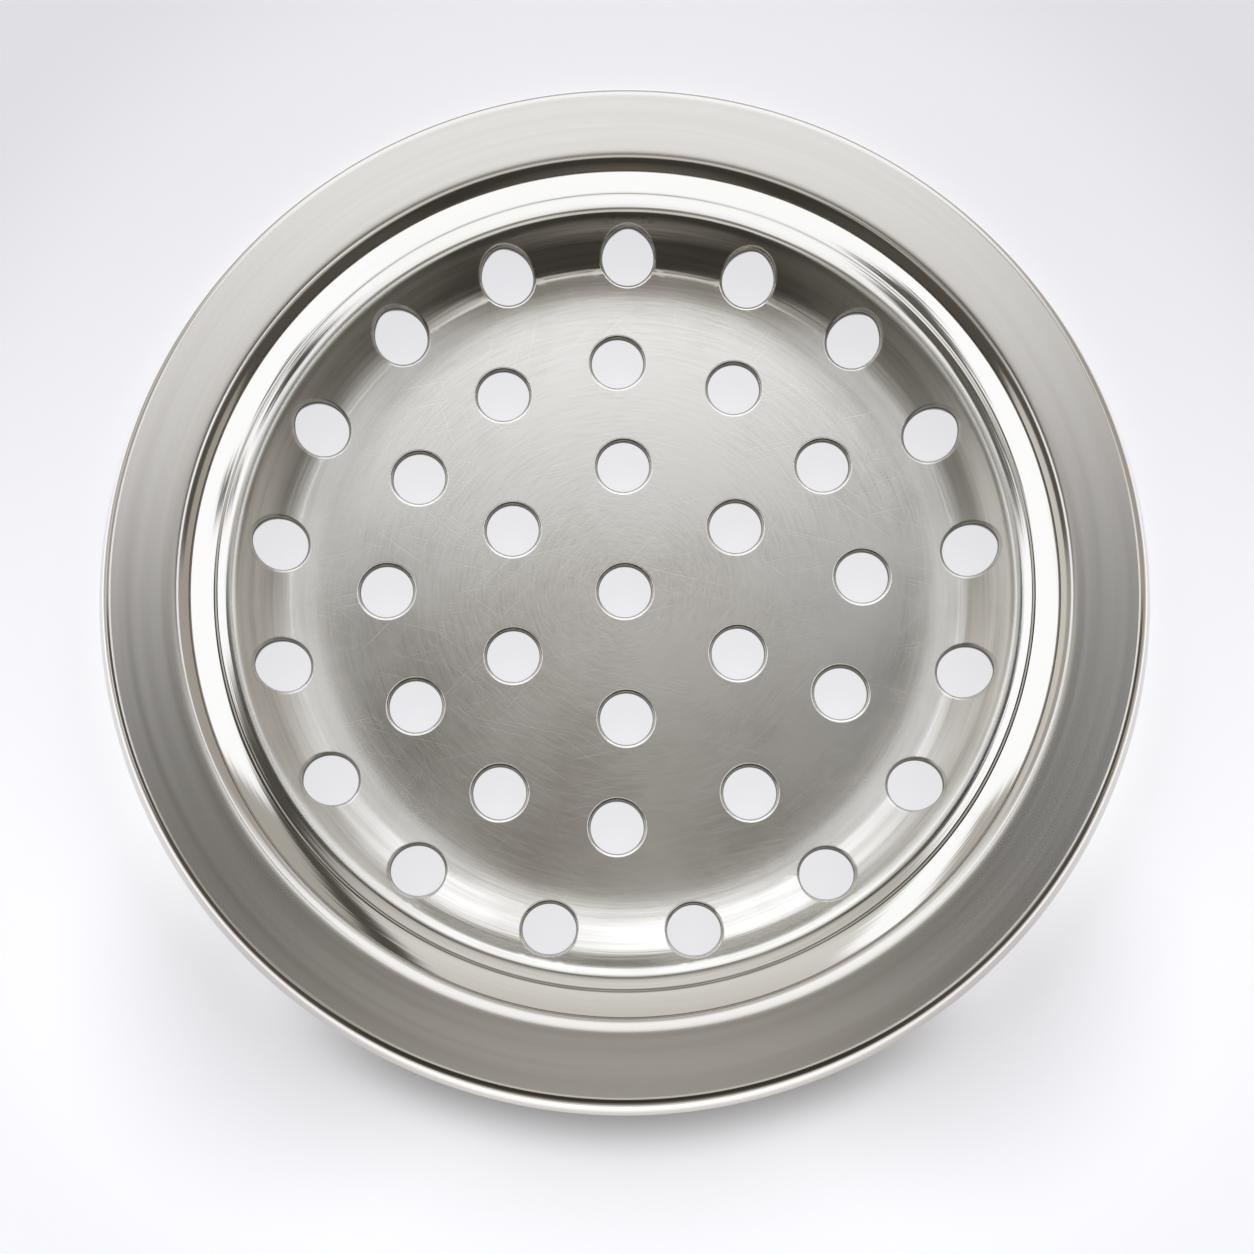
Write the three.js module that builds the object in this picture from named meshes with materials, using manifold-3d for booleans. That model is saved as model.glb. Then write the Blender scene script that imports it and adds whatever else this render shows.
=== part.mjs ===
// Round floor drain grate in stainless sheet: a flanged frame ring that drops into the drain,
// and a perforated strainer dish that lies loose in the frame's rebate and lifts out.
// Millimetres, +Z up. The frame's collar stands on Z = 0 and both pieces turn about the Z axis.

import * as THREE from 'three';
import { mergeVertices } from 'three/addons/utils/BufferGeometryUtils.js';
import Module from 'manifold-3d';

// Sheet, and the inside radius of each pressed bend.
const SHEET = 1.0;
const LIP_BEND = 0.2;
const SHOULDER_BEND = 0.9;
const REBATE_BEND = 0.5;
const COLLAR_BEND = 0.4;
const CREST_BEND = 2.0;
const FLOOR_BEND = 12.0;

// Frame ring.
const COLLAR_DIAMETER = 101.0; // outside, for a drain with a bore of 102 to 104
const LEDGE_WIDTH = 3.0; // collar's inner face to the rebate's wall
const FLANGE_WIDTH = 11.0; // rebate's wall to the outer edge
const LIP_DEPTH = 3.2; // flange's top to the lip's lower edge
const LIP_ANGLE = THREE.MathUtils.degToRad(72); // turned down from the flange

// Strainer dish. Depths are below the flange's top.
const RIM_WIDTH = 3.3; // crest to the rim's edge
const RIM_DROP = 0.42; // crest down to the rim's edge
const CREST_DEPTH = 1.2;
const FLOOR_DEPTH = 7.0;
const WALL_ANGLE = THREE.MathUtils.degToRad(51);

// Clearances.
const RIM_GAP = 0.3; // round the rim, inside the rebate's wall
const SEAT_GAP = 0.3; // under the rim, above the ledge
const FOOT_GAP = 3.5; // dish's underside above the collar's foot

// Drain holes, punched straight down in rings about one centre hole, in degrees from +X.
// A ring's holes go round at its pitch, and the gaps after closeGaps share what is left.
const HOLE_DIAMETER = 6.4;
const HOLE_SETBACK = 6.5; // crest to the outer ring
const RING_STEP = 13.3;
const HOLE_RINGS = [
  { count: 17, start: 304.4, pitch: 20.7, closeGaps: 14 },
  { count: 12, start: 334, pitch: 29.4, closeGaps: 10 },
  { count: 6, start: 30.5, pitch: 60, closeGaps: 5 },
];

// Facets.
const TURN_STEPS = 64;
const HOLE_SIDES = 18;
const CHORD_ERROR = 0.05; // of the bends' arcs

const RIGHT_ANGLE = Math.PI / 2;
const EAST = 0;
const NORTH = RIGHT_ANGLE;
const WEST = Math.PI;
const SOUTH = -RIGHT_ANGLE;

// Levels and radii that both pieces share.
const flangeTop = FLOOR_DEPTH + SHEET + FOOT_GAP;
const collarInner = COLLAR_DIAMETER / 2 - SHEET;
const rebateRadius = collarInner + LEDGE_WIDTH;
const rimRadius = rebateRadius - RIM_GAP;
const crestRadius = rimRadius - RIM_WIDTH;
const crestTop = flangeTop - CREST_DEPTH;
const floorTop = flangeTop - FLOOR_DEPTH;

// The rim falls from the crest along one arc, level at the crest.
const rimArc = (RIM_WIDTH ** 2 + RIM_DROP ** 2) / (2 * RIM_DROP);
const rimSlope = Math.asin(RIM_WIDTH / rimArc);
const rimFoot = crestTop - rimArc + (rimArc - SHEET) * Math.cos(rimSlope);
const ledgeTop = rimFoot - SEAT_GAP;

const wasm = await Module();
wasm.setup();

function arc(r, z, radius, from, to) {
  const step = 2 * Math.acos(1 - CHORD_ERROR / radius);
  const steps = Math.ceil(Math.abs(to - from) / step);
  const points = [];
  for (let i = 0; i <= steps; i += 1) {
    const angle = from + ((to - from) * i) / steps;
    points.push(new THREE.Vector2(r + radius * Math.cos(angle), z + radius * Math.sin(angle)));
  }
  return points;
}

// A sheet's section is a row of bends and cut edges, each with its upper and its lower face.
// A crowned bend's centre lies under the sheet, and a hollow bend's lies above it.
function crowned(r, z, inside, from, to) {
  return { upper: arc(r, z, inside + SHEET, from, to), lower: arc(r, z, inside, from, to) };
}

function hollow(r, z, inside, from, to) {
  return { upper: arc(r, z, inside, from, to), lower: arc(r, z, inside + SHEET, from, to) };
}

function edge(upperR, upperZ, lowerR, lowerZ) {
  return { upper: [new THREE.Vector2(upperR, upperZ)], lower: [new THREE.Vector2(lowerR, lowerZ)] };
}

// Runs in along the upper face and back out along the lower one, straight from bend to bend.
function closedSection(stations) {
  const upper = stations.flatMap((station) => station.upper);
  const lower = stations.flatMap((station) => station.lower);
  return [...upper, ...lower.reverse(), upper[0].clone()];
}

function revolve(stations) {
  const geometry = new THREE.LatheGeometry(closedSection(stations), TURN_STEPS);
  geometry.rotateX(RIGHT_ANGLE);
  return weld(geometry);
}

// Merges shared corners and drops the triangles that close up on the axis.
function weld(geometry) {
  geometry.deleteAttribute('normal');
  geometry.deleteAttribute('uv');
  const merged = mergeVertices(geometry, 1e-4);
  const corners = merged.index.array;
  const kept = [];
  for (let i = 0; i < corners.length; i += 3) {
    const [a, b, c] = corners.slice(i, i + 3);
    if (a !== b && b !== c && c !== a) {
      kept.push(a, b, c);
    }
  }
  merged.setIndex(kept);
  return merged;
}

function toSolid(geometry) {
  const mesh = new wasm.Mesh({
    numProp: 3,
    vertProperties: Float32Array.from(geometry.attributes.position.array),
    triVerts: Uint32Array.from(geometry.index.array),
  });
  return new wasm.Manifold(mesh);
}

function toGeometry(solid) {
  const mesh = solid.getMesh();
  const geometry = new THREE.BufferGeometry();
  geometry.setAttribute('position', new THREE.Float32BufferAttribute(mesh.vertProperties, 3));
  geometry.setIndex(Array.from(mesh.triVerts));
  return geometry;
}

function holeCentres() {
  const centres = [new THREE.Vector2(0, 0)];
  HOLE_RINGS.forEach(({ count, start, pitch, closeGaps }, ring) => {
    const radius = crestRadius - HOLE_SETBACK - ring * RING_STEP;
    const widePitch = (360 - closeGaps * pitch) / (count - closeGaps);
    for (let i = 0; i < count; i += 1) {
      const wideGaps = Math.max(0, i - closeGaps);
      const degrees = start + (i - wideGaps) * pitch + wideGaps * widePitch;
      const angle = THREE.MathUtils.degToRad(degrees);
      centres.push(new THREE.Vector2(radius * Math.cos(angle), radius * Math.sin(angle)));
    }
  });
  return centres;
}

// A punch reaches past both faces of the dish at any height.
function punch(centre) {
  const length = 2 * flangeTop;
  const geometry = new THREE.CylinderGeometry(
    HOLE_DIAMETER / 2, HOLE_DIAMETER / 2, length, HOLE_SIDES);
  geometry.rotateX(RIGHT_ANGLE);
  geometry.translate(centre.x, centre.y, flangeTop / 2);
  return toSolid(weld(geometry));
}

// Lip turned down and trimmed level, flat flange, shoulder into the rebate, ledge, and collar.
function frameRingGeometry() {
  const flangeRadius = rebateRadius + FLANGE_WIDTH;
  const lipArc = LIP_BEND + SHEET;
  const shoulderArc = SHOULDER_BEND + SHEET;
  const collarArc = COLLAR_BEND + SHEET;
  const lipFoot = flangeTop - LIP_DEPTH;
  const lipRun = (LIP_DEPTH - lipArc * (1 - Math.cos(LIP_ANGLE))) / Math.tan(LIP_ANGLE);
  const lipStart = flangeRadius - lipRun - lipArc * Math.sin(LIP_ANGLE);
  return revolve([
    edge(flangeRadius, lipFoot, flangeRadius - SHEET / Math.sin(LIP_ANGLE), lipFoot),
    crowned(lipStart, flangeTop - lipArc, LIP_BEND, NORTH - LIP_ANGLE, NORTH),
    crowned(rebateRadius + shoulderArc, flangeTop - shoulderArc, SHOULDER_BEND, NORTH, WEST),
    hollow(rebateRadius - REBATE_BEND, ledgeTop + REBATE_BEND, REBATE_BEND, EAST, SOUTH),
    crowned(collarInner + collarArc, ledgeTop - collarArc, COLLAR_BEND, NORTH, WEST),
    edge(collarInner, 0, collarInner + SHEET, 0),
  ]);
}

// Rolled rim over the ledge, crest, sloped wall, round bend and flat floor, then the punched holes.
function strainerDishGeometry() {
  const crestArc = CREST_BEND + SHEET;
  const wallTop = crestTop - crestArc * (1 - Math.cos(WALL_ANGLE));
  const wallFoot = floorTop + FLOOR_BEND * (1 - Math.cos(WALL_ANGLE));
  const wallRun = (wallTop - wallFoot) / Math.tan(WALL_ANGLE);
  const floorRadius = crestRadius - (crestArc + FLOOR_BEND) * Math.sin(WALL_ANGLE) - wallRun;
  const blank = revolve([
    crowned(crestRadius, crestTop - rimArc, rimArc - SHEET, NORTH - rimSlope, NORTH),
    crowned(crestRadius, crestTop - crestArc, CREST_BEND, NORTH, NORTH + WALL_ANGLE),
    hollow(floorRadius, floorTop + FLOOR_BEND, FLOOR_BEND, SOUTH + WALL_ANGLE, SOUTH),
    edge(0, floorTop, 0, floorTop - SHEET),
  ]);
  let dish = toSolid(blank);
  holeCentres().forEach((centre) => {
    dish = dish.subtract(punch(centre));
  });
  return toGeometry(dish);
}

function steelMesh(name, geometry, color, roughness) {
  const material = new THREE.MeshStandardMaterial({ color, roughness, metalness: 1 });
  geometry.computeVertexNormals();
  const mesh = new THREE.Mesh(geometry, material);
  mesh.name = name;
  return mesh;
}

const grate = new THREE.Group();
grate.add(steelMesh('frame_ring', frameRingGeometry(), 0xc4c0ba, 0.34));
grate.add(steelMesh('strainer_dish', strainerDishGeometry(), 0xcbc8c2, 0.24));

export default grate;
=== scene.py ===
"""Looks of a round floor drain grate: a satin frame ring and a polished, punched strainer dish."""
import math

import bmesh
import bpy
import numpy as np
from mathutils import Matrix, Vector
from mathutils.geometry import delaunay_2d_cdt


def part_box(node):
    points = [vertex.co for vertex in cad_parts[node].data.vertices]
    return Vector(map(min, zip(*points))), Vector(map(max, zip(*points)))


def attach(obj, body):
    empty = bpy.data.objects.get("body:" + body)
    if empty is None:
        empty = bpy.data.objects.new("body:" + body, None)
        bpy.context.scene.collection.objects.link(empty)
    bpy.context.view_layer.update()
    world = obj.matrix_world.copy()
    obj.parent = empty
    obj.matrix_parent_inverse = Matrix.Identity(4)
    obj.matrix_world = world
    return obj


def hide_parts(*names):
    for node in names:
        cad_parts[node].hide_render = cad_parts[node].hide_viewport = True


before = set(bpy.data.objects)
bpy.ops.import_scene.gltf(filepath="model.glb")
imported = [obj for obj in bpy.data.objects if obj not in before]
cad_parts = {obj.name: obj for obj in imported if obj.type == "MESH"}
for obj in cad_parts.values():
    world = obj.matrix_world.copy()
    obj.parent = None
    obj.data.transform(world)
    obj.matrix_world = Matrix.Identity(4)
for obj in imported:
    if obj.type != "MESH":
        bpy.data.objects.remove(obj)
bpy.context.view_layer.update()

MM = 0.001
TOUCH = 0.01 * MM  # closer than this counts as the same place
MERGE = 0.002 * MM
SMOOTH_ANGLE = math.radians(40)  # sharper corners stay sharp
TINY = 1e-9  # keeps a length from being zero

# Sheet, and the inside radius of each pressed bend.
SHEET = 1.0 * MM
LIP_BEND = 0.2 * MM
SHOULDER_BEND = 0.9 * MM
REBATE_BEND = 0.5 * MM
COLLAR_BEND = 0.4 * MM
CREST_BEND = 2.0 * MM
FLOOR_BEND = 12.0 * MM
CUT_EDGE = 0.12 * MM  # broken corner of a cut edge

# Frame ring, from its node's box.
RING_LOW, RING_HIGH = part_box("frame_ring")
FLANGE_RADIUS = RING_HIGH.x
FLANGE_TOP = RING_HIGH.z
FLANGE_WIDTH = 11.0 * MM
LEDGE_WIDTH = 3.0 * MM
LIP_DEPTH = 3.2 * MM
LIP_ANGLE = math.radians(72)  # turned down from the flange
REBATE_RADIUS = FLANGE_RADIUS - FLANGE_WIDTH
COLLAR_RADIUS = REBATE_RADIUS - LEDGE_WIDTH  # inside
LIP_ARC = LIP_BEND + SHEET
LIP_RUN = (LIP_DEPTH - LIP_ARC * (1 - math.cos(LIP_ANGLE))) / math.tan(LIP_ANGLE)
SHOULDER_ARC = SHOULDER_BEND + SHEET
FLAT_OUT = FLANGE_RADIUS - LIP_RUN - LIP_ARC * math.sin(LIP_ANGLE)  # edges of the flat flange
FLAT_IN = REBATE_RADIUS + SHOULDER_ARC

# Strainer dish, from its node's box.
DISH_LOW, DISH_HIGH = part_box("strainer_dish")
RIM_RADIUS = DISH_HIGH.x
RIM_WIDTH = 3.3 * MM
RIM_DROP = 0.42 * MM
CREASE_DEPTH = 0.04 * MM  # fine line pressed round the rim, just outside the crest
CREASE_WIDTH = 0.6 * MM
CREASE_OFFSET = 0.15 * MM
SEAT_GAP = 0.3 * MM  # under the rim, above the ledge
CREST_RADIUS = RIM_RADIUS - RIM_WIDTH
CREST_TOP = DISH_HIGH.z
FLOOR_TOP = DISH_LOW.z + SHEET
WALL_ANGLE = math.radians(51)
RIM_ARC = (RIM_WIDTH ** 2 + RIM_DROP ** 2) / (2 * RIM_DROP)
RIM_SLOPE = math.asin(RIM_WIDTH / RIM_ARC)
LEDGE_TOP = CREST_TOP - RIM_ARC + (RIM_ARC - SHEET) * math.cos(RIM_SLOPE) - SEAT_GAP
CREST_ARC = CREST_BEND + SHEET
WALL_FOOT = FLOOR_TOP + FLOOR_BEND * (1 - math.cos(WALL_ANGLE))
WALL_TOP = CREST_TOP - CREST_ARC * (1 - math.cos(WALL_ANGLE))
WALL_RUN = (WALL_TOP - WALL_FOOT) / math.tan(WALL_ANGLE)
FLOOR_RADIUS = CREST_RADIUS - (CREST_ARC + FLOOR_BEND) * math.sin(WALL_ANGLE) - WALL_RUN
SQUARE_FROM = 0.925 * CREST_RADIUS  # where the lower face turns square to the sheet
SQUARE_TO = 0.97 * CREST_RADIUS

# Drain holes, in rings about a centre hole: count, first angle and pitch in degrees, and how
# many gaps keep that pitch.
HOLE_RADIUS = 3.2 * MM
HOLE_EDGE = 0.48 * MM  # rounding of the punched edge
HOLE_SHADE_SHARE = 0.3  # of the rounding, painted dark as the shade in the holes
HOLE_SETBACK = 6.5 * MM
RING_STEP = 13.3 * MM
HOLE_RINGS = ((17, 304.4, 20.7, 14), (12, 334.0, 29.4, 10), (6, 30.5, 60.0, 5))

# Slopes that the light shows where one bend runs softly into the next: mm outwards from the
# floor's edge, the crest or the rebate's wall, and degrees down towards the middle.
FLOOR_SLOPES = (
    (-3.0, 0), (-1.0, 0.8), (0.0, 1.7), (1.0, 3.1), (2.0, 4.3), (3.4, 5.6), (3.9, 20))
CREST_SLOPES = (
    (-3.3, 43), (-2.8, 43), (-2.4, 38), (-2.0, 24), (-1.6, 8), (-1.25, 0), (-1.0, -3), (-0.7, -5),
    (0.0, -5.5), (0.2, 4), (0.35, 4), (0.6, -6), (3.3, -10.5))
SHOULDER_SLOPES = (
    (0.0, 42), (0.45, 38), (0.9, 26), (1.15, 14), (1.4, 6), (1.8, 2), (2.3, 0))
SLOPE_BLEND = 0.8  # mm over which such slopes pass into the sheet's own

# Steel, dark and light, and the roughness of each finish.
SATIN_DARK = (0.63, 0.60, 0.56, 1)
SATIN_LIGHT = (0.67, 0.642, 0.605, 1)
POLISHED_DARK = (0.58, 0.555, 0.515, 1)
POLISHED_LIGHT = (0.78, 0.76, 0.725, 1)
# Painted shade: nearly black, for the holes' walls and the inner part of their rounding.
PAINTED_HOLE_SHADE = (0.06, 0.056, 0.05, 1)
FLANGE_ROUGH = 0.17
SHOULDER_ROUGH = 0.13
LIP_ROUGH = 0.08
FLOOR_ROUGH = 0.13
WALL_ROUGH = 0.08
CLOUD_ROUGH = 0.10  # more, in cloudy patches of the floor and wall
SIDE_ROUGH = 0.20  # more, on the wall at the sides
RIM_ROUGH = 0.06
PUNCHED_ROUGH = 0.6
SCRATCH_LENGTH = 14.0 * MM
SCRATCH_WIDTH = 0.22 * MM
SCRATCH_TURNS = (12, 47, 78, 109, 143, 166)  # degrees
SCRATCH_SHIFT = (13 * MM, 7 * MM)  # from one direction's pattern to the next one's
SCRATCH_EDGE = 0.07

# Sky over the grate: degrees that a direction leans back from overhead, and its level.
SKY = (
    (-90, 0.42), (-75, 0.30), (-62, 0.12), (-52, 0.05), (-21, 0.05), (-17, 0.72), (-6, 0.90),
    (3, 0.42), (7, 0.22), (10, 0.28), (12, 0.42), (14.5, 0.85), (17, 1.24), (22, 1.26), (27, 1.36),
    (34, 1.40), (66, 1.42), (80, 1.40), (90, 1.28))
SIDES_BEHIND = 0.48
SIDES_IN_FRONT = 0.10
HORIZON = 0.42
DIM_TINT = (1.08, 1.0, 0.85)
BRIGHT_TINT = (0.97, 0.995, 1.04)
BRIGHT_LEVEL = 1.3

# Where those levels pass into one another, by parts of a direction of length one.
BEHIND_EDGE = (0.12, 0.22)  # back
BACK_LIGHT_END = (0.50, 1.25)  # sideways over back
FRONT_END = (0.40, 0.62)  # sideways
HORIZON_EDGE = (0.05, 0.25)  # up

# Panels and dark flags on a ceiling one unit up: left, right, front and back edge, and level.
PANELS = (
    (-12.0, -1.90, -0.60, 4.00, 0.85),
    (1.90, 12.0, -0.60, 4.00, 0.48),
    (-0.62, -0.32, -0.30, 0.02, 0.50),
    (-0.62, -0.32, 0.02, 0.75, 1.42),
    (-0.34, -0.22, 0.17, 0.60, 1.42),
    (-0.31, -0.215, 0.375, 0.47, 0.06),
    (-0.41, -0.34, 0.31, 0.365, 0.15),
    (0.34, 0.58, -0.45, 0.00, 0.55),
    (0.34, 0.58, 0.00, 0.75, 1.42),
    (0.24, 0.36, -0.20, 0.28, 1.42),
    (-0.26, -0.07, 0.05, 0.25, 0.05),
    (0.07, 0.25, 0.05, 0.265, 0.02),
    (-0.32, -0.24, -0.30, 0.12, 0.08),
    (0.22, 0.34, 0.30, 0.60, 0.12))
PANEL_EDGE = 0.02

# Studio floor, with a glow that the camera sees, added to the light that falls there. The glow is
# shaped by place into painted light and shade round the grate.
STUDIO_WIDTH = 6.0
STUDIO_PALE = (0.885, 0.885, 0.925, 1)
# Darker base under the dish, so that painted light there, not the light through the holes, sets how the
# holes look.
STUDIO_UNDER_DISH = (0.25, 0.25, 0.26, 1)
GLOW_COLOUR = (0.97, 0.97, 1.0, 1)
# Lighter in front: partly a brighter backdrop, partly painted light over the grate's cast shadow.
GLOW_BEHIND = 0.33
GLOW_IN_FRONT = 0.545
# Painted light under the dish, so the floor shows pale through the holes.
PAINTED_LIGHT_UNDER_DISH = 0.74
UNDER_DISH = (0.985 * COLLAR_RADIUS, COLLAR_RADIUS)
GLOW_LOST_OUTSIDE = 0.08
OUTSIDE = (78 * MM, 105 * MM)
GLOW_AT_LIP = 0.20  # share of the glow close to the near lip, a painted shadow deeper than the cast one
GLOW_AT_SIDES = 1.35  # share of the glow close to the rest of the lip, painted light over the cast shadow
LIP_TO_SIDES = (-0.97, -0.72)  # back over distance, from the near lip to the sides
PAST_LIP = (FLANGE_RADIUS - 2 * MM, FLANGE_RADIUS + 6 * MM)
GLOW_IN_LIP = 0.75  # painted reflection: more of it, seen only in reflections, on the ring of floor that the lip's upper half mirrors
LIP_MIRRORS_FROM = (70.3 * MM, 71.0 * MM)
LIP_MIRRORS_TO = (80 * MM, 95 * MM)

# Painted soft shade on the floor to both sides of the near edge.
SHADE_ACROSS = 42 * MM
SHADE_IN_FRONT = 50 * MM
SHADE_LEVEL = 0.16
SHADE_EDGE = (6 * MM, 30 * MM)

# Camera, leaning forward from overhead.
CAMERA_LEAN = math.radians(13.1)
CAMERA_DISTANCE = 0.350  # from the middle of the flange's top
CAMERA_AIM = Vector((0.25 * MM, -5.72 * MM, FLANGE_TOP - 1.33 * MM))
LENS_IN_PIXELS = 2920
PHOTO_WIDTH_IN_PIXELS = 1254
SENSOR_WIDTH = 36.0

# Mesh steps, and rows of points across the dish's section.
TURN_STEPS = 288
BEND_STEPS = 10
FLANGE_CUTS = 11
HOLE_STEPS = 56
EDGE_ROWS = 7  # over a hole's rounded edge
FLAT_RINGS = (1.4, 2.2)  # round a hole, in roundings from its wall
FLAT_CLEAR = 3.0  # roundings from its wall that the section's rows leave free
FLOOR_ROWS = 16
BEND_ROWS = 28
WALL_ROWS = (0.25, 0.5, 0.75)  # shares of the straight wall
CREST_ROWS = 14
RIM_ROWS = 24
FLOOR_SPACING = 1.6 * MM  # of the points on the flat floor
COARSE_FLOOR = 0.9 * FLOOR_RADIUS  # inside which that spacing holds
FEWEST_STEPS = 12


# Helpers for modelling by hand.

def start_fresh():
    """Leaves object mode with nothing selected."""
    if bpy.context.mode != "OBJECT":
        bpy.ops.object.mode_set(mode="OBJECT")
    bpy.ops.object.select_all(action="DESELECT")


def edit(piece):
    """Opens one piece for editing with nothing selected in it."""
    start_fresh()
    piece.select_set(True)
    bpy.context.view_layer.objects.active = piece
    bpy.ops.object.mode_set(mode="EDIT")
    bpy.ops.mesh.select_mode(type="VERT")
    bpy.ops.mesh.select_all(action="DESELECT")


def pick_points(piece, test):
    """Selects the points of the piece in edit mode whose place passes the test."""
    bpy.ops.mesh.select_all(action="DESELECT")
    points = bmesh.from_edit_mesh(piece.data)
    for point in points.verts:
        point.select = test(point.co)
    points.select_flush_mode()
    bmesh.update_edit_mesh(piece.data)


def bend_sheet(centre_r, centre_z, turn):
    """Carries the sheet's free edge round a bend, by a turn about the line of the bend."""
    bpy.ops.mesh.spin(
        steps=BEND_STEPS, angle=abs(turn), center=(centre_r, 0, centre_z),
        axis=(0, math.copysign(1, turn), 0))


def run_sheet(out, up):
    """Carries the sheet's free edge straight on."""
    bpy.ops.mesh.extrude_region_move(TRANSFORM_OT_translate={"value": (out, 0, up)})


def finish_mesh(piece):
    """Merges doubles, turns the faces outwards and smooths all but the sharp corners."""
    edit(piece)
    bpy.ops.mesh.select_all(action="SELECT")
    bpy.ops.mesh.remove_doubles(threshold=MERGE)
    bpy.ops.mesh.normals_make_consistent(inside=False)
    start_fresh()
    piece.select_set(True)
    bpy.ops.object.shade_smooth_by_angle(angle=SMOOTH_ANGLE)
    weighted = piece.modifiers.new("even flats", "WEIGHTED_NORMAL")
    weighted.keep_sharp = True
    weighted.weight = 80
    bpy.ops.object.modifier_apply(modifier=weighted.name)


# Frame ring.

def model_frame_ring():
    """Runs the sheet's section both ways from the flat flange, then turns it full circle."""
    start_fresh()
    collar_arc = COLLAR_BEND + SHEET
    lip_foot = FLANGE_TOP - LIP_DEPTH
    flat_middle = (FLAT_OUT + FLAT_IN) / 2
    bpy.ops.mesh.primitive_plane_add(size=1, rotation=(math.pi / 2, 0, 0))
    ring = bpy.context.active_object
    ring.name = "frame_ring_pressing"
    ring.data.name = ring.name
    bpy.ops.object.transform_apply(location=True, rotation=True, scale=True)
    edit(ring)
    bpy.ops.mesh.select_all(action="SELECT")
    bpy.ops.transform.resize(value=(FLAT_OUT - FLAT_IN, 1, SHEET))
    bpy.ops.transform.translate(value=(flat_middle, 0, FLANGE_TOP - SHEET / 2))

    # Outwards: the lip is turned down a little long, then trimmed level.
    pick_points(ring, lambda place: place.x > flat_middle)
    bend_sheet(FLAT_OUT, FLANGE_TOP - LIP_ARC, -LIP_ANGLE)
    run_sheet(LIP_DEPTH * math.cos(LIP_ANGLE), -LIP_DEPTH * math.sin(LIP_ANGLE))
    bpy.ops.mesh.select_all(action="SELECT")
    bpy.ops.mesh.bisect(plane_co=(0, 0, lip_foot), plane_no=(0, 0, 1), clear_inner=True)

    # Inwards: shoulder, rebate, ledge and collar.
    right_angle = math.pi / 2
    pick_points(ring, lambda place: abs(place.x - FLAT_IN) < TOUCH)
    bend_sheet(FLAT_IN, FLANGE_TOP - SHOULDER_ARC, right_angle)
    run_sheet(0, LEDGE_TOP + REBATE_BEND - (FLANGE_TOP - SHOULDER_ARC))
    bend_sheet(REBATE_RADIUS - REBATE_BEND, LEDGE_TOP + REBATE_BEND, -right_angle)
    run_sheet(COLLAR_RADIUS + collar_arc - (REBATE_RADIUS - REBATE_BEND), 0)
    bend_sheet(COLLAR_RADIUS + collar_arc, LEDGE_TOP - collar_arc, right_angle)
    run_sheet(0, RING_LOW.z - (LEDGE_TOP - collar_arc))

    # The two cut edges lose their sharp corners, then the outline alone is turned.
    for level in (lip_foot, RING_LOW.z):
        pick_points(ring, lambda place: abs(place.z - level) < TOUCH)
        bpy.ops.mesh.bevel(offset=CUT_EDGE, segments=2, affect="VERTICES")
    bpy.ops.mesh.select_all(action="SELECT")
    bpy.ops.mesh.dissolve_limited(angle_limit=0.001)
    bpy.ops.mesh.select_all(action="SELECT")
    bpy.ops.mesh.delete(type="ONLY_FACE")
    pick_points(ring, lambda place: place.z > FLANGE_TOP - TOUCH)
    bpy.ops.mesh.subdivide(number_cuts=FLANGE_CUTS)
    bpy.ops.mesh.select_all(action="SELECT")
    bpy.ops.mesh.spin(
        steps=TURN_STEPS, angle=2 * math.pi, center=(0, 0, 0), axis=(0, 0, 1))
    finish_mesh(ring)
    soften_shoulder(ring.data)
    return ring


def soften_shoulder(mesh):
    """Lets the shoulder run softly into the flange, in the upper face's normals."""
    corners = np.empty(len(mesh.loops), dtype=np.int32)
    mesh.loops.foreach_get("vertex_index", corners)
    places = np.empty(3 * len(mesh.vertices), dtype=np.float32)
    mesh.vertices.foreach_get("co", places)
    places = places.reshape(-1, 3)[corners]
    normals = np.empty(3 * len(corners), dtype=np.float32)
    mesh.corner_normals.foreach_get("vector", normals)
    normals = normals.reshape(-1, 3)
    radius = np.linalg.norm(places[:, :2], axis=1)
    outward = places[:, :2] / radius[:, None]
    reach, degrees = np.array(SHOULDER_SLOPES).T
    from_wall = (radius - REBATE_RADIUS) / MM
    faces_out = (normals[:, :2] * outward).sum(axis=1)
    least_lean = 0.3  # up and towards the middle, on the upper face
    upper = normals[:, 2] - faces_out > least_lean
    on_shoulder = upper & (from_wall > -TOUCH / MM) & (from_wall < reach[-1])
    on_shoulder &= places[:, 2] > FLANGE_TOP - SHOULDER_ARC - TOUCH
    slope = np.radians(np.interp(from_wall, reach, degrees))
    soft = np.column_stack((-outward * np.sin(slope)[:, None], np.cos(slope)))
    normals[on_shoulder] = soft[on_shoulder]
    mesh.normals_split_custom_set(normals.tolist())


# Strainer dish. Its mesh follows the section and has rings of points round every punched hole,
# so that the rounded edges stay even where a hole runs up the curved wall.

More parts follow.
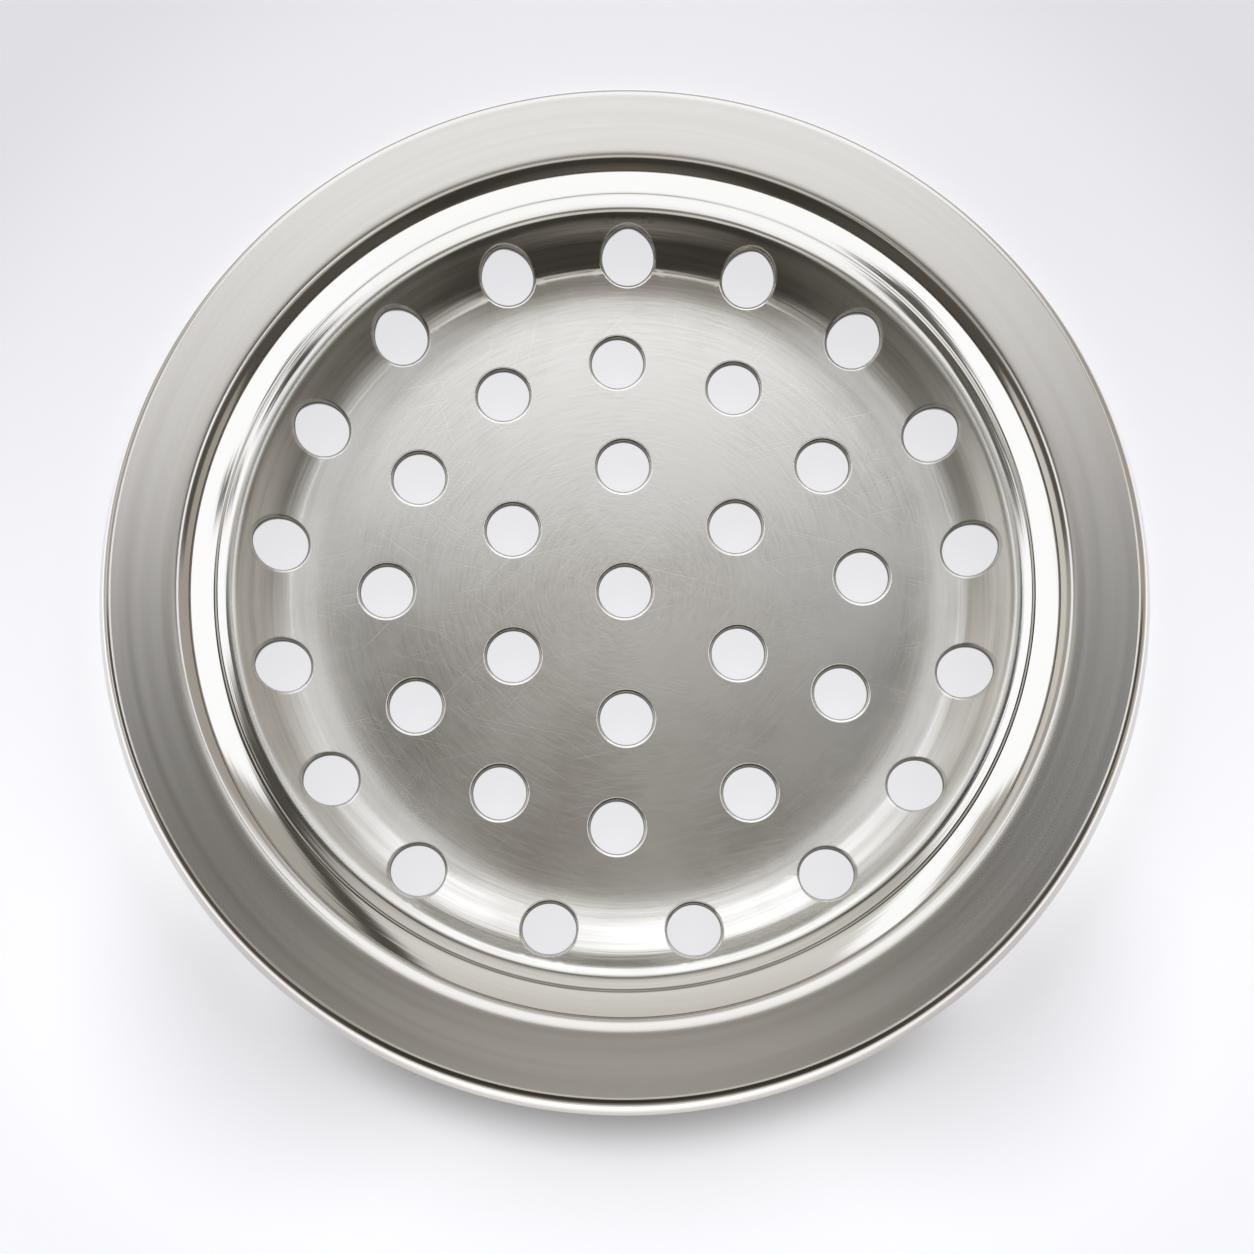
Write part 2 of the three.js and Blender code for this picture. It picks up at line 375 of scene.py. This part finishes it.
def section_points():
    """Upper face from the middle out to the rim's edge: rows of radius, height and slope."""
    def arc(radius, height, bend, slopes):
        """Rows round a bend's centre, one for each slope."""
        return [
            (radius + bend * math.sin(slope), height - bend * math.cos(slope), slope)
            for slope in slopes]

    floor = [
        (radius, FLOOR_TOP, 0.0) for radius in np.linspace(0, FLOOR_RADIUS, FLOOR_ROWS)[:-1]]
    bend = arc(
        FLOOR_RADIUS, FLOOR_TOP + FLOOR_BEND, FLOOR_BEND, np.linspace(0, WALL_ANGLE, BEND_ROWS))
    crest = arc(
        CREST_RADIUS, CREST_TOP - CREST_ARC, -CREST_ARC, np.linspace(WALL_ANGLE, 0, CREST_ROWS))
    wall_ends = np.array((bend[-1], crest[0]))
    wall = [tuple(wall_ends[0] + (wall_ends[1] - wall_ends[0]) * share) for share in WALL_ROWS]
    rim = arc(
        CREST_RADIUS, CREST_TOP - RIM_ARC, -RIM_ARC, np.linspace(0, -RIM_SLOPE, RIM_ROWS)[1:])
    section = np.array(floor + bend + wall + crest + rim)
    from_crease = (section[:, 0] - CREST_RADIUS - CREASE_OFFSET) / (CREASE_WIDTH / 2)
    section[:, 1] -= CREASE_DEPTH * np.clip(1 - from_crease ** 2, 0, 1)
    return section


def hole_centres():
    """Places of the holes seen from above, the middle one first."""
    centres = [(0.0, 0.0)]
    for ring, (count, start, pitch, close_gaps) in enumerate(HOLE_RINGS):
        radius = CREST_RADIUS - HOLE_SETBACK - ring * RING_STEP
        wide_pitch = (360 - close_gaps * pitch) / (count - close_gaps)
        for i in range(count):
            wide = max(0, i - close_gaps)
            angle = math.radians(start + (i - wide) * pitch + wide * wide_pitch)
            centres.append((radius * math.cos(angle), radius * math.sin(angle)))
    return np.array(centres)


def nearest_hole(spots, centres):
    """Number of the nearest hole, the distance from its centre and the direction away from it."""
    offset = spots[:, None, :] - centres[None, :, :]
    distance = np.linalg.norm(offset, axis=2)
    hole = distance.argmin(axis=1)
    rows = np.arange(len(spots))
    gap = distance[rows, hole]
    return hole, gap, offset[rows, hole] / np.maximum(gap, TINY)[:, None]


def circle(radius, steps):
    """Points evenly round the middle."""
    turn = np.arange(steps) * 2 * math.pi / steps
    return radius * np.column_stack((np.cos(turn), np.sin(turn)))


def plan_of_dish(section, centres):
    """Triangles of the punched blank seen from above, as places and corner numbers."""
    edge_turns = np.linspace(0, math.pi / 2, EDGE_ROWS)
    hole_rings = [HOLE_RADIUS + HOLE_EDGE * (1 - math.cos(turn)) for turn in edge_turns]
    hole_rings += [HOLE_RADIUS + HOLE_EDGE * ring for ring in FLAT_RINGS]
    clear = HOLE_RADIUS + HOLE_EDGE * FLAT_CLEAR
    places, edges = [], []
    count = 0
    for centre in centres:
        for radius in hole_rings:
            places.append(centre + circle(radius, HOLE_STEPS))
            edges += [(count + i, count + (i + 1) % HOLE_STEPS) for i in range(HOLE_STEPS)]
            count += HOLE_STEPS
    for row, radius in enumerate(section[1:, 0]):
        steps = TURN_STEPS
        if radius < COARSE_FLOOR:
            steps = max(FEWEST_STEPS, int(2 * math.pi * radius / FLOOR_SPACING))
        points = circle(radius, steps)
        kept = points[nearest_hole(points, centres)[1] > clear]
        if row == len(section) - 2:
            edges += [(count + i, count + (i + 1) % steps) for i in range(steps)]
        places.append(kept)
        count += len(kept)
    flat = np.concatenate(places) / MM
    spots, _, faces, _, _, _ = delaunay_2d_cdt([Vector(place) for place in flat], edges, [], 0, 1e-6)
    spots = np.array([tuple(place) for place in spots]) * MM
    faces = np.array(faces)
    gap = nearest_hole(spots[faces].mean(axis=1), centres)[1]
    faces = faces[gap > HOLE_RADIUS * math.cos(math.pi / HOLE_STEPS)]
    side_a = spots[faces[:, 1]] - spots[faces[:, 0]]
    side_b = spots[faces[:, 2]] - spots[faces[:, 0]]
    turned = side_a[:, 0] * side_b[:, 1] < side_a[:, 1] * side_b[:, 0]
    faces[turned] = faces[turned][:, ::-1]
    return spots, faces


def shown_slope(radius, section):
    """Slope that the light shows: easy over the floor's edge, and close over the crest."""
    slope = np.interp(radius, section[:, 0], section[:, 2])
    reach, degrees = np.array(FLOOR_SLOPES).T
    from_floor = (radius - FLOOR_RADIUS) / MM
    easy = np.radians(np.interp(from_floor, reach, degrees))
    slope += (easy - slope) * np.clip((reach[-1] - from_floor) / SLOPE_BLEND + 1, 0, 1)
    reach, degrees = np.array(CREST_SLOPES).T
    from_crest = (radius - CREST_RADIUS) / MM
    close = np.radians(np.interp(from_crest, reach, degrees))
    return slope + (close - slope) * np.clip((from_crest - reach[0]) / SLOPE_BLEND + 1, 0, 1)


def model_strainer_dish():
    """Lifts the punched plan to both faces of the sheet, and joins them at the holes and the rim."""
    section = section_points()
    centres = hole_centres()
    spots, faces = plan_of_dish(section, centres)

    # Upper face, rolled over into each hole.
    radius = np.linalg.norm(spots, axis=1)
    outward = spots / np.maximum(radius, TINY)[:, None]
    slope = np.interp(radius, section[:, 0], section[:, 2])
    hole, gap, away = nearest_hole(spots, centres)
    past_edge = (gap - HOLE_RADIUS) / HOLE_EDGE
    into_edge = np.clip(past_edge, 0, 1)
    height = np.interp(radius, section[:, 0], section[:, 1])
    height = height - HOLE_EDGE * (1 - np.sqrt(1 - (1 - into_edge) ** 2))
    shown = shown_slope(radius, section)
    face_up = np.column_stack((-outward * np.sin(shown)[:, None], np.cos(shown)))
    rolled = np.arcsin(1 - into_edge)
    into_hole = np.column_stack((-away, np.zeros(len(away))))
    upper_normal = face_up * np.cos(rolled)[:, None] + into_hole * np.sin(rolled)[:, None]
    upper_normal /= np.linalg.norm(upper_normal, axis=1)[:, None]
    upper = np.column_stack((spots, height))

    # Lower face: a sheet's thickness below, square to the sheet at the rim.
    low_radius = section[:, 0] + SHEET * np.sin(section[:, 2])
    low_height = section[:, 1] - SHEET * np.cos(section[:, 2])
    at_rim = np.clip((radius - SQUARE_FROM) / (SQUARE_TO - SQUARE_FROM), 0, 1)
    shifted = radius + at_rim * SHEET * np.sin(slope)
    lower_slope = np.interp(shifted, low_radius, section[:, 2])
    lower = np.column_stack((outward * shifted[:, None], np.interp(shifted, low_radius, low_height)))
    lower_normal = np.column_stack((outward * np.sin(lower_slope)[:, None], -np.cos(lower_slope)))

    # Both faces, the walls of the holes and the rim's edge, with the normals of their corners.
    count = len(spots)
    polygons = [tuple(face) for face in faces]
    normals = [upper_normal[corner] for face in faces for corner in face]
    for face in faces:
        turned_face = face[::-1]
        polygons.append(tuple(turned_face + count))
        normals += [lower_normal[corner] for corner in turned_face]
    for number in range(len(centres)):
        on_edge = np.flatnonzero((hole == number) & (gap < HOLE_RADIUS + TOUCH))
        turn = np.arctan2(away[on_edge, 1], away[on_edge, 0])
        loop = on_edge[np.argsort(turn)]
        for a, b in zip(loop, np.roll(loop, -1)):
            polygons.append((a, b, b + count, a + count))
            normals += [into_hole[a], into_hole[b], into_hole[b], into_hole[a]]
    rim = np.flatnonzero(radius > RIM_RADIUS - TOUCH)
    rim = rim[np.argsort(np.arctan2(spots[rim, 1], spots[rim, 0]))]
    rim_normal = np.column_stack(
        (outward * math.cos(RIM_SLOPE), np.full(count, -math.sin(RIM_SLOPE))))
    for a, b in zip(rim, np.roll(rim, -1)):
        polygons.append((a, a + count, b + count, b))
        normals += [rim_normal[a], rim_normal[a], rim_normal[b], rim_normal[b]]

    # The mesh, with a mark on the holes' walls and the inner part of each rounding, where shade is
    # painted.
    mesh = bpy.data.meshes.new("strainer_dish_pressing")
    mesh.from_pydata(np.concatenate((upper, lower)).tolist(), [], polygons)
    mesh.polygons.foreach_set("use_smooth", np.ones(len(mesh.polygons), dtype=bool))
    hole_shade = np.clip(1 - past_edge / HOLE_SHADE_SHARE, 0, 1)
    mark = mesh.attributes.new("painted_hole_shade", "FLOAT", "POINT")
    mark.data.foreach_set("value", np.concatenate((hole_shade, np.zeros(count))))
    mesh.update()
    mesh.normals_split_custom_set(np.array(normals).tolist())
    dish = bpy.data.objects.new("strainer_dish_pressing", mesh)
    bpy.context.scene.collection.objects.link(dish)
    return dish


# Steel. Node helpers, the effects that both finishes share, then the two finishes.

def add_node(tree, kind, **settings):
    """Adds a node of a kind, with its settings."""
    node = tree.nodes.new(kind)
    for name, value in settings.items():
        setattr(node, name, value)
    return node


def feed(tree, socket, source):
    """Gives a socket a plain value or links it to another node's output."""
    if isinstance(source, bpy.types.NodeSocket):
        tree.links.new(source, socket)
    else:
        socket.default_value = source


def math_node(tree, operation, *sources):
    """Output of a sum or other operation on values and outputs."""
    node = add_node(tree, "ShaderNodeMath", operation=operation)
    for socket, source in zip(node.inputs, sources):
        feed(tree, socket, source)
    return node.outputs[0]


def ramp_between(tree, value, low, high, at_low=0.0, at_high=1.0):
    """Smooth step of a value from one level to another."""
    node = add_node(tree, "ShaderNodeMapRange", interpolation_type="SMOOTHSTEP")
    for socket, source in zip(node.inputs, (value, low, high, at_low, at_high)):
        feed(tree, socket, source)
    return node.outputs[0]


def noise(tree, vector, scale, detail, roughness):
    """Output of a noise pattern on a vector."""
    node = add_node(tree, "ShaderNodeTexNoise")
    feed(tree, node.inputs["Vector"], vector)
    node.inputs["Scale"].default_value = scale
    node.inputs["Detail"].default_value = detail
    node.inputs["Roughness"].default_value = roughness
    return node.outputs["Fac"]


def mix_values(tree, factor, first, second):
    """Output of a mix of two values."""
    node = add_node(tree, "ShaderNodeMix", data_type="FLOAT")
    feed(tree, node.inputs[0], factor)
    feed(tree, node.inputs[2], first)
    feed(tree, node.inputs[3], second)
    return node.outputs[0]


def mix_colours(tree, factor, first, second):
    """Output of a mix of two colours."""
    node = add_node(tree, "ShaderNodeMix", data_type="RGBA")
    feed(tree, node.inputs[0], factor)
    feed(tree, node.inputs[6], first)
    feed(tree, node.inputs[7], second)
    return node.outputs[2]


def new_group(name, inputs, outputs):
    """Starts a group of nodes with its inputs and outputs, all plain values."""
    group = bpy.data.node_groups.new(name, "ShaderNodeTree")
    for direction, labels in (("INPUT", inputs), ("OUTPUT", outputs)):
        for label in labels:
            group.interface.new_socket(label, in_out=direction, socket_type="NodeSocketFloat")
    return group, group.nodes.new("NodeGroupInput"), group.nodes.new("NodeGroupOutput")


def place_group(tree, group, **sources):
    """Puts a group of nodes into a material, with a source for each input."""
    node = add_node(tree, "ShaderNodeGroup", node_tree=group)
    for name, source in sources.items():
        feed(tree, node.inputs[name], source)
    return node


def make_turned_lines():
    """Fine lines left round the axis by the polishing wheel, and the radius they follow in mm.

    Lines is how many there are in a mm, and Run how soon they change along the way round.
    Side is 0 in front and behind, and 1 at the left and right.
    """
    group, given, out = new_group(
        "turned lines", ("Lines", "Run"), ("Radius", "Side", "Height", "Streaks"))
    place = add_node(group, "ShaderNodeTexCoord").outputs["Object"]
    parts = add_node(group, "ShaderNodeSeparateXYZ")
    group.links.new(place, parts.inputs[0])
    squared = math_node(
        group, "ADD", math_node(group, "MULTIPLY", parts.outputs[0], parts.outputs[0]),
        math_node(group, "MULTIPLY", parts.outputs[1], parts.outputs[1]))
    radius = math_node(group, "MULTIPLY", math_node(group, "SQRT", squared), 1 / MM)
    reach = math_node(group, "MAXIMUM", radius, 0.01)
    along = math_node(group, "DIVIDE", given.outputs["Run"], reach)
    across = add_node(group, "ShaderNodeCombineXYZ")
    for socket, part in zip(across.inputs, parts.outputs[:2]):
        scaled = math_node(group, "MULTIPLY", part, 1 / MM)
        group.links.new(math_node(group, "MULTIPLY", scaled, along), socket)
    group.links.new(math_node(group, "MULTIPLY", radius, given.outputs["Lines"]), across.inputs[2])
    group.links.new(radius, out.inputs["Radius"])
    sideways = math_node(group, "ABSOLUTE", math_node(group, "MULTIPLY", parts.outputs[0], 1 / MM))
    group.links.new(math_node(group, "DIVIDE", sideways, reach), out.inputs["Side"])
    group.links.new(noise(group, across.outputs[0], 1.0, 3.0, 0.6), out.inputs["Height"])
    group.links.new(noise(group, across.outputs[0], 0.31, 2.0, 0.5), out.inputs["Streaks"])
    return group


def make_hair_scratches():
    """Thin short scratches in several directions, as a mask, and soft cloudy patches."""
    group, given, out = new_group("hair scratches", ("Share",), ("Mask", "Cloud"))
    place = add_node(group, "ShaderNodeTexCoord").outputs["Object"]
    edge = math_node(group, "SUBTRACT", 1.0, given.outputs["Share"])
    full = math_node(group, "ADD", edge, SCRATCH_EDGE)
    total = 0.0
    for number, degrees in enumerate(SCRATCH_TURNS):
        shift_x, shift_y = (number * shift for shift in SCRATCH_SHIFT)
        turn = add_node(group, "ShaderNodeMapping", vector_type="TEXTURE")
        group.links.new(place, turn.inputs["Vector"])
        turn.inputs["Rotation"].default_value = (0, 0, math.radians(degrees))
        turn.inputs["Location"].default_value = (shift_x, shift_y, 0)
        turn.inputs["Scale"].default_value = (SCRATCH_LENGTH, SCRATCH_WIDTH, 1)
        field = noise(group, turn.outputs[0], 1.0, 1.0, 0.4)
        total = math_node(group, "MAXIMUM", total, ramp_between(group, field, edge, full))
    group.links.new(total, out.inputs["Mask"])
    group.links.new(noise(group, place, 55.0, 4.0, 0.55), out.inputs["Cloud"])
    return group


def new_steel(name):
    """Starts a bare metal material."""
    material = bpy.data.materials.new(name)
    material.use_nodes = True
    tree = material.node_tree
    shader = tree.nodes["Principled BSDF"]
    shader.inputs["Metallic"].default_value = 1.0
    return material, tree, shader


def satin_steel(turned, scratches):
    """Frame ring: brushed flat flange, softer shoulder, bright lip."""
    material, tree, shader = new_steel("satin_steel")
    shader.inputs["Anisotropic"].default_value = 0.4
    shader.inputs["Anisotropic Rotation"].default_value = 0.25
    tangent = add_node(tree, "ShaderNodeTangent", direction_type="RADIAL", axis="Z")
    tree.links.new(tangent.outputs[0], shader.inputs["Tangent"])
    lines = place_group(tree, turned, Lines=2.2, Run=2.0)
    wear = place_group(tree, scratches, Share=0.36)
    radius = lines.outputs["Radius"]
    inner = ramp_between(tree, radius, FLAT_IN / MM - 1.2, FLAT_IN / MM + 0.2)
    outer = ramp_between(tree, radius, FLAT_OUT / MM - 0.1, FLAT_OUT / MM + 0.5)
    rough = math_node(tree, "MULTIPLY_ADD", lines.outputs["Streaks"], 0.05, FLANGE_ROUGH)
    rough = mix_values(tree, inner, SHOULDER_ROUGH, rough)
    rough = mix_values(tree, outer, rough, LIP_ROUGH)
    feed(tree, shader.inputs["Roughness"], rough)
    tone = ramp_between(tree, lines.outputs["Streaks"], 0.3, 0.7)
    feed(tree, shader.inputs["Base Color"], mix_colours(tree, tone, SATIN_DARK, SATIN_LIGHT))
    bump = add_node(tree, "ShaderNodeBump")
    bump.inputs["Distance"].default_value = 0.01 * MM
    bump.inputs["Strength"].default_value = 0.12
    flat = math_node(tree, "SUBTRACT", inner, outer)
    relief = math_node(
        tree, "SUBTRACT", math_node(tree, "MULTIPLY", lines.outputs["Height"], flat),
        math_node(tree, "MULTIPLY", wear.outputs["Mask"], 0.05))
    feed(tree, bump.inputs["Height"], relief)
    tree.links.new(bump.outputs[0], shader.inputs["Normal"])
    return material


def polished_steel(turned, scratches):
    """Strainer dish: mirror rim, drawn wall, and a satin floor with fine scratches."""
    material, tree, shader = new_steel("polished_steel")
    brushed = place_group(tree, turned, Lines=3.0, Run=6.0)
    drawn = place_group(tree, turned, Lines=1.1, Run=1.3)
    wear = place_group(tree, scratches, Share=0.34)
    radius = brushed.outputs["Radius"]
    bend_start = FLOOR_RADIUS / MM
    crest = CREST_RADIUS / MM
    floor = ramp_between(tree, radius, bend_start - 1.0, bend_start + 5.0, 1.0, 0.0)
    rim = ramp_between(tree, radius, crest - 2.2, crest - 0.6)
    wall = ramp_between(tree, radius, bend_start, bend_start + 6.0)
    wall = math_node(tree, "SUBTRACT", wall, math_node(tree, "MULTIPLY", rim, 0.65))
    cloud = wear.outputs["Cloud"]
    marks = math_node(tree, "MULTIPLY", wear.outputs["Mask"], floor)
    grain = math_node(tree, "SUBTRACT", brushed.outputs["Height"], 0.5)
    grain = math_node(tree, "MULTIPLY", grain, floor)
    streaks = math_node(tree, "SUBTRACT", drawn.outputs["Height"], 0.5)
    streaks = math_node(tree, "MULTIPLY", streaks, wall)

    rough = mix_values(tree, floor, WALL_ROUGH, FLOOR_ROUGH)
    rough = math_node(tree, "MULTIPLY_ADD", cloud, CLOUD_ROUGH, rough)
    sides = ramp_between(tree, brushed.outputs["Side"], 0.35, 0.75)
    bend = ramp_between(tree, radius, bend_start - 0.5, bend_start + 2.0)
    haze = math_node(tree, "MULTIPLY", sides, bend)
    rough = math_node(tree, "MULTIPLY_ADD", haze, SIDE_ROUGH, rough)
    rough = mix_values(tree, rim, rough, RIM_ROUGH)

    tone = math_node(tree, "MULTIPLY_ADD", cloud, 1.5, -0.25)
    for part, share in ((grain, 0.75), (streaks, 2.4), (marks, 0.22), (wall, 0.15), (floor, 0.22)):
        tone = math_node(tree, "MULTIPLY_ADD", part, share, tone)
    tone = mix_values(tree, rim, tone, 0.6)
    tone = ramp_between(tree, tone, 0.0, 1.0)
    colour = mix_colours(tree, tone, POLISHED_DARK, POLISHED_LIGHT)
    # Painted shade in the holes: their walls and the inner part of their rounding turn nearly black,
    # rough and hardly metallic.
    hole_shade = add_node(tree, "ShaderNodeAttribute", attribute_name="painted_hole_shade").outputs["Fac"]
    feed(tree, shader.inputs["Base Color"], mix_colours(tree, hole_shade, colour, PAINTED_HOLE_SHADE))
    feed(tree, shader.inputs["Roughness"], mix_values(tree, hole_shade, rough, PUNCHED_ROUGH))
    feed(tree, shader.inputs["Metallic"], mix_values(tree, hole_shade, 1.0, 0.1))

    bump = add_node(tree, "ShaderNodeBump")
    bump.inputs["Distance"].default_value = 0.02 * MM
    bump.inputs["Strength"].default_value = 0.25
    relief = math_node(tree, "MULTIPLY_ADD", grain, 0.4, math_node(tree, "MULTIPLY", marks, -0.15))
    relief = math_node(tree, "MULTIPLY_ADD", streaks, 7.0, relief)
    feed(tree, bump.inputs["Height"], relief)
    tree.links.new(bump.outputs[0], shader.inputs["Normal"])
    return material


# Studio.

def make_floor():
    """Pale floor that keeps the grate's shadow, with painted light and shade round it, and painted
    light under the dish so that it shows pale through the drain holes.
    """
    start_fresh()
    bpy.ops.mesh.primitive_plane_add(size=STUDIO_WIDTH)
    floor = bpy.context.active_object
    floor.name = "studio_floor"
    material = bpy.data.materials.new("pale_floor")
    material.use_nodes = True
    tree = material.node_tree
    shader = tree.nodes["Principled BSDF"]
    shader.inputs["Roughness"].default_value = 0.9
    shader.inputs["Specular IOR Level"].default_value = 0.0
    place = add_node(tree, "ShaderNodeTexCoord").outputs["Object"]
    reach = add_node(tree, "ShaderNodeVectorMath", operation="LENGTH")
    tree.links.new(place, reach.inputs[0])
    away = reach.outputs["Value"]
    parts = add_node(tree, "ShaderNodeSeparateXYZ")
    tree.links.new(place, parts.inputs[0])
    sideways, back, _ = parts.outputs
    # Under the dish, a darker base, so that painted light sets the floor's look through the holes.
    under_dish = ramp_between(tree, away, *UNDER_DISH, 1.0, 0.0)
    colour = mix_colours(tree, under_dish, STUDIO_PALE, STUDIO_UNDER_DISH)
    feed(tree, shader.inputs["Base Color"], colour)

    # The glow fades outwards, and is shaped into painted light and shade: lighter in front, partly as
    # painted light over the cast shadow, a painted shadow along the near lip, painted light along the
    # rest of the lip, and painted shade to both sides of the near edge.
    behind = ramp_between(tree, back, -FLANGE_RADIUS, FLANGE_RADIUS)
    glow = mix_values(tree, behind, GLOW_IN_FRONT, GLOW_BEHIND)
    direction = math_node(tree, "DIVIDE", back, away)
    at_lip = ramp_between(tree, direction, *LIP_TO_SIDES, GLOW_AT_LIP, GLOW_AT_SIDES)
    glow = math_node(tree, "MULTIPLY", glow, ramp_between(tree, away, *PAST_LIP, at_lip, 1.0))
    lost = ramp_between(tree, away, *OUTSIDE, 0.0, GLOW_LOST_OUTSIDE)
    glow = math_node(tree, "SUBTRACT", glow, lost)
    # Painted shade to both sides of the near edge.
    across = math_node(tree, "SUBTRACT", math_node(tree, "ABSOLUTE", sideways), SHADE_ACROSS)
    along = math_node(tree, "ADD", back, SHADE_IN_FRONT)
    squared = math_node(tree, "MULTIPLY_ADD", across, across, math_node(tree, "MULTIPLY", along, along))
    apart = math_node(tree, "SQRT", squared)
    shade = ramp_between(tree, apart, *SHADE_EDGE, SHADE_LEVEL, 0.0)
    glow = math_node(tree, "SUBTRACT", glow, shade)
    # Painted light under the dish, so the floor shows pale through the holes.
    glow = mix_values(tree, under_dish, glow, PAINTED_LIGHT_UNDER_DISH)

    # It is seen and mirrored, but lights nothing.
    path = add_node(tree, "ShaderNodeLightPath")
    glossy = path.outputs["Is Glossy Ray"]
    seen = math_node(tree, "MAXIMUM", path.outputs["Is Camera Ray"], glossy)
    seen = math_node(tree, "MAXIMUM", seen, path.outputs["Is Transmission Ray"])
    # Painted reflection: a ring of extra glow that only reflections see brightens the lip.
    painted_lip_reflection = math_node(
        tree, "MULTIPLY", ramp_between(tree, away, *LIP_MIRRORS_FROM),
        ramp_between(tree, away, *LIP_MIRRORS_TO, GLOW_IN_LIP, 0.0))
    painted_lip_reflection = math_node(tree, "MULTIPLY", painted_lip_reflection, glossy)
    glow = math_node(tree, "MULTIPLY_ADD", seen, glow, painted_lip_reflection)
    shader.inputs["Emission Color"].default_value = GLOW_COLOUR
    tree.links.new(glow, shader.inputs["Emission Strength"])
    floor.data.materials.append(material)


def light_colour(level):
    """Colour of the light at a level: dim surroundings are warmer than the bright panels."""
    share = min(level / BRIGHT_LEVEL, 1.0)
    tint = [dim + (bright - dim) * share for dim, bright in zip(DIM_TINT, BRIGHT_TINT)]
    return (*(level * part for part in tint), 1)


def make_world():
    """Light from a wide panel behind the grate, grey overhead, black in front, and side panels."""
    world = bpy.data.worlds.new("studio")
    bpy.context.scene.world = world
    world.use_nodes = True
    tree = world.node_tree
    background = tree.nodes["Background"]
    direction = add_node(tree, "ShaderNodeTexCoord").outputs["Generated"]
    parts = add_node(tree, "ShaderNodeSeparateXYZ")
    tree.links.new(direction, parts.inputs[0])
    sideways, back, up = parts.outputs
    ramp = add_node(tree, "ShaderNodeValToRGB")
    tree.links.new(math_node(tree, "MULTIPLY_ADD", back, 0.5, 0.5), ramp.inputs[0])
    while len(ramp.color_ramp.elements) < len(SKY):
        ramp.color_ramp.elements.new(0.5)
    for element, (tilt, level) in zip(ramp.color_ramp.elements, SKY):
        element.position = 0.5 + 0.5 * math.sin(math.radians(tilt))
        element.color = light_colour(level)
    colour = ramp.outputs[0]

    # The back light has two ends, and the dark in front goes on round the sides.
    aside = math_node(tree, "ABSOLUTE", sideways)
    behind = ramp_between(tree, back, *BEHIND_EDGE)
    past_end = math_node(tree, "DIVIDE", aside, math_node(tree, "MAXIMUM", back, 0.01))
    past_end = math_node(tree, "MULTIPLY", ramp_between(tree, past_end, *BACK_LIGHT_END), behind)
    colour = mix_colours(tree, past_end, colour, light_colour(SIDES_BEHIND))
    in_front = math_node(tree, "SUBTRACT", 1.0, behind)
    beside = math_node(tree, "MULTIPLY", ramp_between(tree, aside, *FRONT_END), in_front)
    colour = mix_colours(tree, beside, colour, light_colour(SIDES_IN_FRONT))

    # Panels and flags, then the dim horizon below them all.
    height = math_node(tree, "MAXIMUM", up, 0.001)
    across = math_node(tree, "DIVIDE", sideways, height)
    along = math_node(tree, "DIVIDE", back, height)
    for left, right, front, rear, level in PANELS:
        inside = 1.0
        for place, low, high in ((across, left, right), (along, front, rear)):
            for edge, at_low, at_high in ((low, 0.0, 1.0), (high, 1.0, 0.0)):
                side = ramp_between(tree, place, edge - PANEL_EDGE, edge + PANEL_EDGE, at_low, at_high)
                inside = math_node(tree, "MULTIPLY", inside, side)
        colour = mix_colours(tree, inside, colour, light_colour(level))
    low = ramp_between(tree, up, *HORIZON_EDGE, 1.0, 0.0)
    colour = mix_colours(tree, low, colour, light_colour(HORIZON))
    tree.links.new(colour, background.inputs["Color"])
    background.inputs["Strength"].default_value = 1.0


def make_camera():
    """Camera in the place that the photo was taken from."""
    camera = bpy.data.cameras.new("camera")
    camera.sensor_width = SENSOR_WIDTH
    camera.lens = SENSOR_WIDTH * LENS_IN_PIXELS / PHOTO_WIDTH_IN_PIXELS
    camera.clip_start = 0.01
    holder = bpy.data.objects.new("camera", camera)
    holder.location = (
        0, -CAMERA_DISTANCE * math.sin(CAMERA_LEAN),
        FLANGE_TOP + CAMERA_DISTANCE * math.cos(CAMERA_LEAN))
    view = CAMERA_AIM - holder.location
    holder.rotation_euler = view.to_track_quat("-Z", "Y").to_euler()
    bpy.context.scene.collection.objects.link(holder)
    bpy.context.scene.camera = holder


turned_lines = make_turned_lines()
hair_scratches = make_hair_scratches()
satin = satin_steel(turned_lines, hair_scratches)
polished = polished_steel(turned_lines, hair_scratches)

frame_ring = model_frame_ring()
frame_ring.data.materials.append(satin)
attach(frame_ring, "frame")
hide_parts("frame_ring")

strainer_dish = model_strainer_dish()
strainer_dish.data.materials.append(polished)
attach(strainer_dish, "dish")
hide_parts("strainer_dish")

make_floor()
make_world()
make_camera()
bpy.context.scene.view_settings.view_transform = "Standard"

start_fresh()
bpy.context.view_layer.update()
